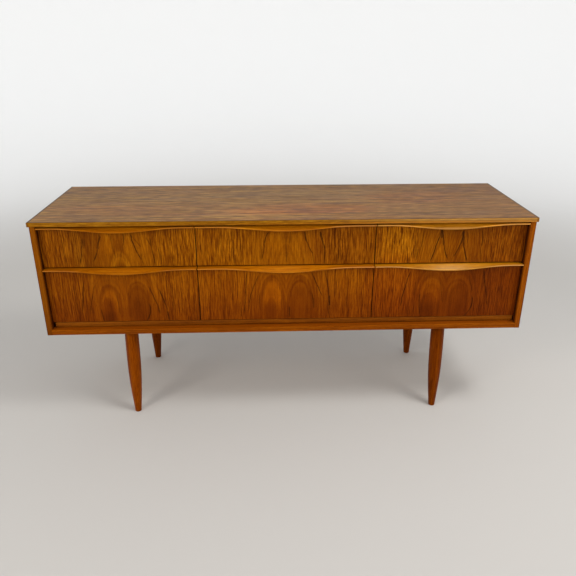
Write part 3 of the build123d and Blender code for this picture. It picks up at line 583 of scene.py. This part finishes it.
def upright(t, colour, xyz):
    """The left end's lipping is darker than the right one, and more so low down.

    Along its outer corner each shows the darker edge of the side's veneer.
    """
    edge = t.smooth(t.math("ABSOLUTE", xyz[0]), *UPRIGHT_CORNER)
    colour = t.mix(edge, colour, (0.66, 0.62, 0.8, 1.0), "MULTIPLY")
    colour = t.mix(t.smooth(xyz[0], 0.1, -0.1), colour, (0.80, 0.86, 0.9, 1.0), "MULTIPLY")
    colour = t.mix(t.smooth(xyz[0], -0.1, 0.1), colour, (0.95, 0.88, 0.6, 1.0), "MULTIPLY")
    low = t.math("MULTIPLY", t.smooth(xyz[2], 0.48, 0.32), t.smooth(xyz[0], 0.1, -0.1, 0.4, 1.0))
    return t.mix(low, colour, (0.78, 0.70, 0.8, 1.0), "MULTIPLY")


def pale_noses_and_painted_lip_light(t, colour, xyz):
    """The lips' noses are paler where they run level with the lip's top, at its ends, more so to the
    right.

    Painted light: the upper lips are paler towards their tops, more so in the right bay, and the
    lower ones to the right of the left bay.
    """
    # Painted light: the upper lips are lightened towards their tops, and more in the right bay.
    high = t.math("MULTIPLY", t.smooth(xyz[2], *LIP_UPPER_FACE),
                  t.smooth(xyz[0], *LEFT_BAY_ENDS, 0.6, 1.0))
    colour = t.mix(high, colour, (1.45, 1.65, 2.6, 1.0), "MULTIPLY")
    colour = t.mix(t.math("MULTIPLY", high, t.smooth(xyz[0], 0.25, 0.35)), colour,
                   (1.25, 1.15, 1.5, 1.0), "MULTIPLY")
    # Painted highlight: the lower lips to the right of the left bay are paler.
    paler = t.math("MULTIPLY", t.smooth(xyz[0], *LEFT_BAY_ENDS),
                   t.math("LESS_THAN", xyz[2], BETWEEN_ROWS))
    colour = t.mix(paler, colour, (1.18, 1.22, 1.1, 1.0), "MULTIPLY")
    forward = t.smooth(xyz[1], *LIP_NOSE)
    lower = t.math("MULTIPLY", t.smooth(xyz[2], *LIP_LOWER_EDGE),
                   t.math("LESS_THAN", xyz[2], BETWEEN_ROWS))
    upper = t.smooth(xyz[2], *LIP_UPPER_EDGE)
    amount = t.math("MULTIPLY", forward, t.math("MAXIMUM", lower, upper))
    amount = t.math("MULTIPLY", amount, t.smooth(xyz[0], -0.3, 0.1, 0.12, 0.35))
    return t.mix(amount, colour, (*linear(206, 146, 84), 1.0))


def veneered_front(t, colour, xyz):
    """The board is edged in teak at the front, and plain behind."""
    return t.mix(t.smooth(xyz[1], *BOARD_EDGING, 1.0, 0.0), colour, (*TEAK_EDGE[1], 1.0))


def painted_recess_shade(t, colour, xyz):
    """The inner faces of the case's ends are painted dark, as shade in the recess by the drawers."""
    out = t.smooth(t.math("ABSOLUTE", xyz[0]), *SIDE_INNER_FACE)
    return t.mix(out, (*linear(62, 22, 2), 1.0), colour)


def finish_pieces():
    """Makes each material and gives it to its pieces."""
    for index, (name, front) in enumerate(FRONTS.items()):
        row, bay = name.split("_")
        body = f"{name}_drawer"
        seed = 11.0 + index * 7.0
        if row == "upper":
            look = {"colours": TEAK_UPPER, "band": 0.35, "flecks": 0.5, "speckle": 0.5}
        else:
            look = {"colours": TEAK_LOWER, "band": 0.4, "flecks": 0.25, "speckle": 0.5}
        assign(wood(f"teak_{body}_front", "z", seed=seed, figure=front, streak=0.9, fine=1.0,
                    broad=0.35, specular=0.2, tint=WARM, shade=painted_front_shade, **look), f"{body}_front")
        # The right bay's lips take the paler colours, a painted highlight.
        lip_colours = TEAK_LIP_PAINTED_LIT if bay == "right" else TEAK_LIP
        assign(wood(f"teak_{body}_lip", "x", lip_colours, seed + 3, streak=0.4, pores=0.3,
                    specular=LIP_GLOSS[bay], roughness=0.36, tint=(1.0, 0.9, 0.5),
                    shade=pale_noses_and_painted_lip_light), f"{body}_lip")
    assign(wood("teak_top_veneer", "x", TEAK_TOP, 3.0, band=0.6, line_scale=100.0, streak=1.1,
                fine=1.3, broad=0.3, hue=0.55, roughness=0.5, specular=0.2, tint=WHITE,
                shade=top_wear_and_painted_sheen, across=145.0), "top_panel")
    assign(wood("teak_side_veneer", "z", TEAK_SIDE, 5.0, band=0.4, shade=painted_recess_shade),
           "left_side_panel", "right_side_panel")
    assign(wood("teak_top_lipping", "x", TEAK_SOLID, 8.0, flecks=0.25, speckle=0.5, specular=0.2,
                shade=topped), "top_front_lipping")
    assign(wood("teak_bottom_lipping", "x", TEAK_EDGE, 9.5, band=0.5, specular=0.2, tint=WARM),
           "bottom_front_lipping")
    assign(wood("teak_rail", "x", TEAK_RAIL, 8.5), "bottom_front_rail")
    assign(wood("teak_solid_deep", "y", TEAK_SOLID, 9.0, specular=0.2, shade=topped),
           "top_end_lippings")
    assign(wood("teak_solid_upright", "z", TEAK_UPRIGHT, 10.0, specular=0.2, tint=WARM,
                shade=upright), "side_front_lippings")
    # The front left leg takes the paler colours, painted light from the left.
    assign(wood("teak_leg_painted_lit", "z", TEAK_LEG_PAINTED_LIT, 12.0, band=0.4, pores=0.4, specular=0.1,
                tint=WARM), "leg_front_left")
    assign(wood("teak_legs", "z", TEAK_LEG, 12.5, band=0.4, pores=0.4, specular=0.08, tint=WARM),
           "leg_front_right", "leg_back_left", "leg_back_right")
    assign(wood("carcass_board_long", "x", BOARD, 14.0, wear=0.0, shade=veneered_front),
           "bottom_panel")
    assign(wood("carcass_board_upright", "z", BOARD, 15.0, wear=0.0, shade=veneered_front),
           "left_divider", "right_divider")
    assign(wood("softwood_long", "x", PINE, 16.0, pores=0.1, roughness=0.6), "top_front_rail",
           "top_back_rail")
    assign(wood("softwood_deep", "y", PINE, 17.0, pores=0.1, roughness=0.6), "drawer_runners")
    boxes = {
        "y": wood("drawer_wood_deep", "y", BIRCH, 18.0, pores=0.2, roughness=0.55),
        "x": wood("drawer_wood_long", "x", BIRCH, 19.0, pores=0.2, roughness=0.55),
        "ply": wood("drawer_plywood", "x", BIRCH, 20.0, band=0.5, pores=0.1, roughness=0.6),
    }
    for name in FRONTS:
        assign(boxes["y"], f"{name}_drawer_left_side", f"{name}_drawer_right_side")
        assign(boxes["x"], f"{name}_drawer_back")
        assign(boxes["ply"], f"{name}_drawer_bottom")
    assign(plain("hardboard", linear(92, 62, 38), linear(128, 92, 60), 300.0, 0.6, specular=0.3),
           "back_panel")
    steel = plain("steel", linear(120, 116, 110), linear(168, 164, 156), 160.0, 0.38,
                  metallic=1.0)
    assign(steel, "leg_plates", "leg_studs", "leg_plate_screws", "top_fixing_screws",
           "back_panel_screws")


# ---------------------------------------------------------------- stage and light
FLOOR_RADIUS = 3.1
BEND_RADIUS = 1.4
WALL_TOP = 3.6
FLOOR_COLOUR = (0.56, 0.535, 0.50, 1.0)
WALL_COLOUR = (0.86, 0.86, 0.85, 1.0)
WALL_GLOW = 0.2
BEND_STEPS = 12


def make_stage():
    """A round pale floor that curves up into a wall all round, so every view has it behind."""
    profile = [(0.0, 0.0), (FLOOR_RADIUS, 0.0)]
    for step in range(1, BEND_STEPS + 1):
        angle = math.pi / 2 * step / BEND_STEPS
        profile.append((FLOOR_RADIUS + BEND_RADIUS * math.sin(angle),
                        BEND_RADIUS * (1 - math.cos(angle))))
    profile.append((FLOOR_RADIUS + BEND_RADIUS, WALL_TOP))
    mesh = bmesh.new()
    points = [mesh.verts.new((radius, 0.0, height)) for radius, height in profile]
    edges = [mesh.edges.new(pair) for pair in zip(points, points[1:])]
    bmesh.ops.spin(mesh, geom=points + edges, axis=(0, 0, 1), cent=(0, 0, 0),
                   angle=2 * math.pi, steps=96)
    bmesh.ops.remove_doubles(mesh, verts=mesh.verts, dist=1e-5)
    bmesh.ops.recalc_face_normals(mesh, faces=mesh.faces)
    data = bpy.data.meshes.new("stage_floor")
    mesh.to_mesh(data)
    mesh.free()
    for face in data.polygons:
        face.use_smooth = True
    floor = bpy.data.objects.new("stage_floor", data)
    bpy.context.scene.collection.objects.link(floor)
    t = Tree("stage_floor")
    place = t.add("TexCoord").outputs["Object"]
    away = t.add("VectorMath", {0: place}, operation="LENGTH").outputs["Value"]
    out = t.smooth(away, 1.6, 4.8)
    data.materials.append(t.surface(colour=t.mix(out, FLOOR_COLOUR, WALL_COLOUR), roughness=0.9,
                                    specular=0.1, glow=(*WHITE, 1.0),
                                    glow_strength=t.math("MULTIPLY", out, WALL_GLOW)))


def area_light(name, place, target, size, power, colour):
    """A square soft light at a place, turned to its target."""
    data = bpy.data.lights.new(name, "AREA")
    data.shape = "SQUARE"
    data.size = size
    data.energy = power
    data.color = colour
    light = bpy.data.objects.new(name, data)
    light.location = place
    aim = Vector(target) - Vector(place)
    light.rotation_euler = aim.to_track_quat("-Z", "Y").to_euler()
    bpy.context.scene.collection.objects.link(light)


def make_lights():
    """Three soft lights, a pale even world, and the plain view transform."""
    area_light("key_light", (-2.3, -2.6, 2.2), (0.0, 0.0, 0.4), 1.2, 40.0, (1.0, 0.97, 0.93))
    area_light("fill_light", (2.5, -2.2, 2.2), (0.0, 0.0, 0.4), 1.2, 14.0, (1.0, 0.98, 0.96))
    area_light("top_light", (1.35, -1.0, 2.6), (0.2, 0.0, 0.5), 0.9, 32.0, (1.0, 1.0, 1.0))
    world = bpy.data.worlds.new("studio")
    world.use_nodes = True
    background = world.node_tree.nodes["Background"]
    background.inputs[0].default_value = (0.92, 0.95, 1.0, 1.0)
    background.inputs[1].default_value = 0.6
    bpy.context.scene.world = world
    bpy.context.scene.view_settings.view_transform = "Standard"


make_camera()
make_stage()
make_lights()
finish_pieces()
